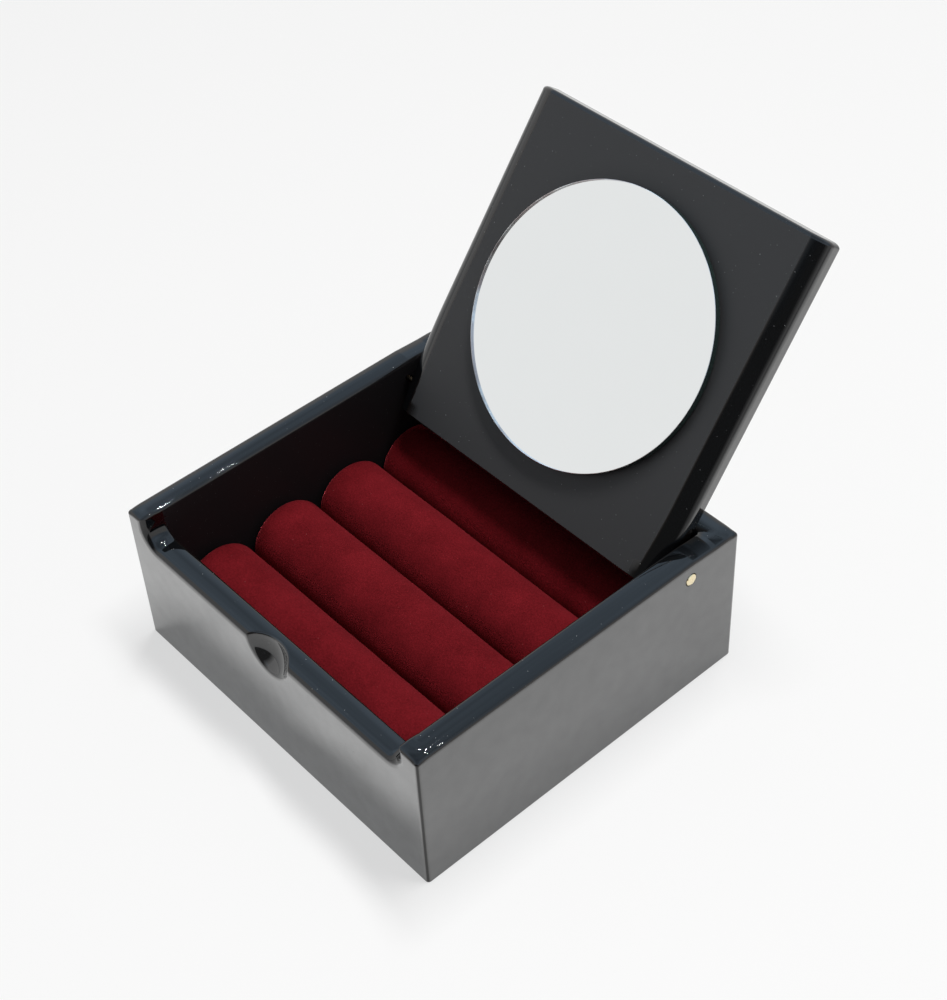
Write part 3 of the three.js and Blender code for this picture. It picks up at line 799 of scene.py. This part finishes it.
pearl, tree, shader = finish("mother-of-pearl")
growth = clouds(tree, 130.0, 3.0, Distortion=1.2)
bands = put(
    tree, "ShaderNodeTexWave",
    {
        "Vector": spot_on(tree), "Scale": 95.0, "Distortion": 9.0, "Detail": 3.0,
        "Detail Scale": 2.0,
    },
).outputs["Fac"]
spread = ranged(tree, maths(tree, "ADD", growth, bands), 0.6, 1.4)
lustre = put(tree, "ShaderNodeValToRGB", {"Fac": spread})
stops = [
    (0.05, (0.30, 0.60, 0.55, 1)), (0.25, (0.72, 0.80, 0.68, 1)), (0.42, (0.84, 0.58, 0.66, 1)),
    (0.58, (0.46, 0.62, 0.84, 1)), (0.75, (0.52, 0.80, 0.62, 1)), (0.95, (0.86, 0.82, 0.72, 1)),
]
ramp = lustre.color_ramp
ramp.elements[0].position, ramp.elements[0].color = stops[0]
ramp.elements[1].position, ramp.elements[1].color = stops[-1]
for position, colour in stops[1:-1]:
    ramp.elements.new(position).color = colour
join(shader, {
    "Base Color": lustre.outputs["Color"],
    "Normal": bumps(tree, bands, 0.15, 0.0001),
    "Metallic": 0.35,
    "Roughness": 0.28,
    "Coat Weight": 1.0,
    "Coat Roughness": 0.03,
})

# all in mm, from the pivot
border_inset, border_width = 5.0, 1.3
lid_rear_on_face = math.sqrt(lid_end_radius**2 - lid_outer**2)
rosette_y = -38.99
petal_count, petal_inner, petal_outer, petal_gap = 12, 7.2, 21.5, 1.0
bud_radius, ring_inner, ring_outer = 5.6, 23.6, 24.9
fan_inset, fan_inner, fan_outer = 3.2, 3.0, 12.5
shell_eased = 0.05
shell_bottom, shell_top = lid_outer - 0.45, lid_outer + 0.05
shell_shoulder = lid_outer + 0.01


def arc(middle, radius, start, end, steps):
    """Points on an arc, in degrees."""
    angles = np.radians(np.linspace(start, end, steps + 1))
    return [(middle + radius * math.cos(a), radius * math.sin(a)) for a in angles]


def border_strip(half, reach, grow):
    """One side of the border line, half as long and reach out from the middle of the lid."""
    inner, outer = half - 0.5 * border_width, half - 1.5 * border_width
    return [
        (-outer - grow, reach - border_width - grow), (outer + grow, reach - border_width - grow),
        (inner + grow, reach + grow), (-inner - grow, reach + grow),
    ]


def petal(grow):
    """A petal of the rosette, with a round tip."""
    step = math.pi / petal_count
    half_inner = petal_inner * math.tan(step) - petal_gap / 2 + grow
    tip = (petal_outer * math.sin(step) - petal_gap / 2) / (1 + math.sin(step)) + grow
    return [
        (petal_inner - grow, half_inner), (petal_inner - grow, -half_inner),
        *arc(petal_outer + grow - tip, tip, -90, 90, 24),
    ]


def fan(grow):
    """A quarter fan for a corner."""
    return [
        *arc(0, fan_outer + grow, 0, 90, 32),
        *arc(0, fan_inner - grow, 90, 0, 10),
    ]


def shell_piece(name, outline, turn, x, y):
    """A slip of shell from its outline, with its upper edge eased, set in the lid's outer face."""
    place = lid_open @ Matrix.Translation((x * MM, y * MM, 0)) @ Matrix.Rotation(turn, 4, "Z")
    slip = bmesh.new()
    loops = [
        [slip.verts.new((px * MM, py * MM, z * MM)) for px, py in outline(grow)]
        for grow, z in ((0.0, shell_bottom), (0.0, shell_shoulder), (-shell_eased, shell_top))
    ]
    for lower, upper in zip(loops, loops[1:]):
        for i in range(len(lower)):
            j = (i + 1) % len(lower)
            slip.faces.new((lower[i], lower[j], upper[j], upper[i]))
    slip.faces.new(list(reversed(loops[0])))
    slip.faces.new(loops[-1])
    bmesh.ops.recalc_face_normals(slip, faces=slip.faces)
    bmesh.ops.transform(slip, matrix=place, verts=slip.verts)
    piece = new_piece(name, mesh_from(slip, name), pearl)
    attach(piece, "lid")
    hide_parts(name.replace("shell", "inlay"))


border_front, border_rear = -80.0, lid_rear_on_face - border_inset
border_half_x = lid_half_width - border_inset
border_half_y = (border_rear - border_front) / 2
border_middle = (border_front + border_rear) / 2
for quarter, side in enumerate(("rear", "left", "front", "right")):
    half, reach = border_half_x, border_half_y
    if quarter % 2:
        half, reach = reach, half
    shell_piece(
        f"shell_border_{side}", lambda grow: border_strip(half, reach, grow),
        quarter * math.pi / 2, 0, border_middle,
    )
for number in range(petal_count):
    shell_piece(
        f"shell_petal_{number + 1}", petal, (2 * number + 1) * math.pi / petal_count,
        0, rosette_y,
    )
shell_piece("shell_bud", lambda grow: arc(0, bud_radius + grow, 0, 355, 71), 0, 0, rosette_y)
fan_x = lid_half_width - border_inset - border_width - fan_inset
fan_y = border_half_y - border_width - fan_inset
for number, (side_x, side_y, quarter) in enumerate(
    ((-1, -1, 0), (1, -1, 1), (-1, 1, 3), (1, 1, 2)), start=1
):
    shell_piece(
        f"shell_fan_{number}", fan, quarter * math.pi / 2,
        side_x * fan_x, border_middle + side_y * fan_y,
    )

place = lid_open @ Matrix.Translation((0, rosette_y * MM, 0))
band = bmesh.new()
loops = [
    [
        band.verts.new(place @ Vector((px * MM, py * MM, z * MM)))
        for px, py in arc(0, out, 0, 357.5, 143)
    ]
    for out, z in (
        (ring_inner, shell_bottom), (ring_outer, shell_bottom), (ring_outer, shell_shoulder),
        (ring_outer - shell_eased, shell_top), (ring_inner + shell_eased, shell_top),
        (ring_inner, shell_shoulder),
    )
]
for first, second in zip(loops, loops[1:] + loops[:1]):
    for i in range(len(first)):
        j = (i + 1) % len(first)
        band.faces.new((first[i], first[j], second[j], second[i]))
bmesh.ops.recalc_face_normals(band, faces=band.faces)
shell_ring = new_piece("shell_ring", mesh_from(band, "shell_ring"), pearl)
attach(shell_ring, "lid")
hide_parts("inlay_ring")


# Table top. A plain pale surface that runs well past the view, with a faint mottle. It looks
# nearly white, in the lacquer and the mirror too, and a painted falloff of light makes it a
# little darker away from the camera.

paper, tree, shader = finish("pale table top")
mottle = mixed(tree, clouds(tree, 6.0, 6.0), (0.88, 0.88, 0.875, 1), (0.9, 0.9, 0.895, 1))
away = put(
    tree, "ShaderNodeVectorMath", {0: spot_on(tree), 1: (-0.77, 0.64, 0.0)},
    operation="DOT_PRODUCT",
)
# painted falloff of light: the floor's colour and its white glow are scaled down away from the camera
painted_falloff = ranged(tree, away.outputs["Value"], -0.1, 0.35, 1.0, 0.945)
mottle_with_painted_falloff = put(tree, "ShaderNodeVectorMath", {0: mottle, "Scale": painted_falloff}, operation="SCALE")
join(shader, {
    "Base Color": mottle_with_painted_falloff.outputs[0],
    "Roughness": 0.7,
    "Specular IOR Level": 0.2,
})
path = put(tree, "ShaderNodeLightPath").outputs
mirrored = maths(tree, "MAXIMUM", path["Is Glossy Ray"], path["Is Transmission Ray"])
seen_white = maths(tree, "MULTIPLY", path["Is Camera Ray"], 0.62)
seen_white = maths(tree, "MULTIPLY_ADD", mirrored, 0.29, seen_white)
white = put(tree, "ShaderNodeEmission", {"Color": (1, 1, 1, 1), "Strength": painted_falloff})
blend = put(
    tree, "ShaderNodeMixShader", {0: seen_white, 1: shader.outputs[0], 2: white.outputs[0]}
)
join(tree.nodes["Material Output"], {"Surface": blend.outputs[0]})
bpy.ops.mesh.primitive_plane_add(size=8.0, location=(0, 0, 0))
table_top = bpy.context.object
table_top.name = "table_top"
table_top.data.materials.append(paper)


# Light. A bright room with a darker side behind the camera and a bluish ceiling, both seen only
# in reflections; a wide soft light a little behind the box; and two rows of small ceiling lamps
# that are there for the lacquer to mirror.

room = bpy.data.worlds.new("room")
bpy.context.scene.world = room
room.use_nodes = True
tree = room.node_tree
tree.nodes.clear()
direction = put(tree, "ShaderNodeTexCoord").outputs["Generated"]
up = put(tree, "ShaderNodeSeparateXYZ", {0: direction}).outputs["Z"]
to_camera_side = put(
    tree, "ShaderNodeVectorMath", {0: direction, 1: (0.342, -0.94, 0.0)}, operation="DOT_PRODUCT"
)
dark_side = ranged(tree, to_camera_side.outputs["Value"], 0.64, 0.84, 1.0, 0.1)
overhead = ranged(tree, up, 0.86, 0.93, 1.0, 0.65)
clutter = put(tree, "ShaderNodeTexNoise", {"Vector": direction, "Scale": 3.0, "Detail": 2.0})
uneven = ranged(tree, clutter.outputs["Fac"], 0.3, 0.7, 0.7, 1.2)
cool = put(
    tree, "ShaderNodeVectorMath", {0: (0.74, 0.95, 1.18), "Scale": uneven}, operation="SCALE"
)
mirrored_room = put(
    tree, "ShaderNodeBackground",
    {
        "Color": mixed(tree, ranged(tree, up, 0.46, 0.56), (1, 1, 1, 1), cool.outputs[0]),
        "Strength": maths(tree, "MULTIPLY", dark_side, overhead),
    },
)
path = put(tree, "ShaderNodeLightPath").outputs
seen = maths(tree, "MAXIMUM", path["Is Camera Ray"], path["Is Transmission Ray"])
plain_room = put(
    tree, "ShaderNodeBackground",
    {"Color": (1, 1, 1, 1), "Strength": ranged(tree, seen, 0.0, 1.0, 0.21, 1.0)},
)
either = put(
    tree, "ShaderNodeMixShader",
    {0: path["Is Glossy Ray"], 1: plain_room.outputs[0], 2: mirrored_room.outputs[0]},
)
put(tree, "ShaderNodeOutputWorld", {"Surface": either.outputs[0]})

# (name, where it hangs, width, depth, watts, whether it is there for the lacquer to mirror
# instead of to light the box)
lamps = [
    ("soft_light", (0.1, 0.47, 1.85), 1.2, 0.32, 32.0, False),
    ("ceiling_lamp_1", (0.44, 0.697, 2.2), 0.015, 0.015, 2.2, True),
    ("ceiling_lamp_2", (-0.055, 0.718, 2.2), 0.015, 0.015, 2.2, True),
    ("ceiling_lamp_3", (-0.53, 0.729, 2.2), 0.015, 0.015, 2.2, True),
    ("ceiling_lamp_4", (-0.96, 0.751, 2.2), 0.015, 0.015, 2.2, True),
    ("ceiling_lamp_5", (0.16, 0.838, 2.2), 0.015, 0.015, 0.8, True),
    ("ceiling_lamp_6", (-0.7, 0.849, 2.2), 0.015, 0.015, 0.8, True),
]
for name, place, width, depth, watts, is_mirrored in lamps:
    lamp = bpy.data.lights.new(name, "AREA")
    lamp.shape = "RECTANGLE"
    lamp.size, lamp.size_y = width, depth
    lamp.energy = watts
    holder = new_piece(name, lamp)
    holder.location = place
    holder.rotation_mode = "QUATERNION"
    holder.rotation_quaternion = Vector(place).to_track_quat("Z", "Y")
    holder.visible_glossy = is_mirrored
    holder.visible_diffuse = not is_mirrored

bpy.context.scene.view_settings.view_transform = "Standard"


# Camera, at the photograph's viewing angle and distance.

camera_data = bpy.data.cameras.new("camera")
camera_data.lens = 70.02
camera_data.clip_start = 0.01
camera_data.clip_end = 50.0
camera = new_piece("camera", camera_data)
turn, tilt, roll_angle = math.radians(50.38), math.radians(44.24), math.radians(-3.32)
level = Vector((math.cos(turn), math.sin(turn), 0))
back = Vector((math.sin(turn) * math.cos(tilt), -math.cos(turn) * math.cos(tilt), math.sin(tilt)))
upright = back.cross(level)
right = level * math.cos(roll_angle) + upright * math.sin(roll_angle)
up = upright * math.cos(roll_angle) - level * math.sin(roll_angle)
camera.matrix_world = Matrix.Translation((0.265816, -0.205127, 0.376963)) @ Matrix(
    (right, up, back)
).transposed().to_4x4()
bpy.context.scene.camera = camera
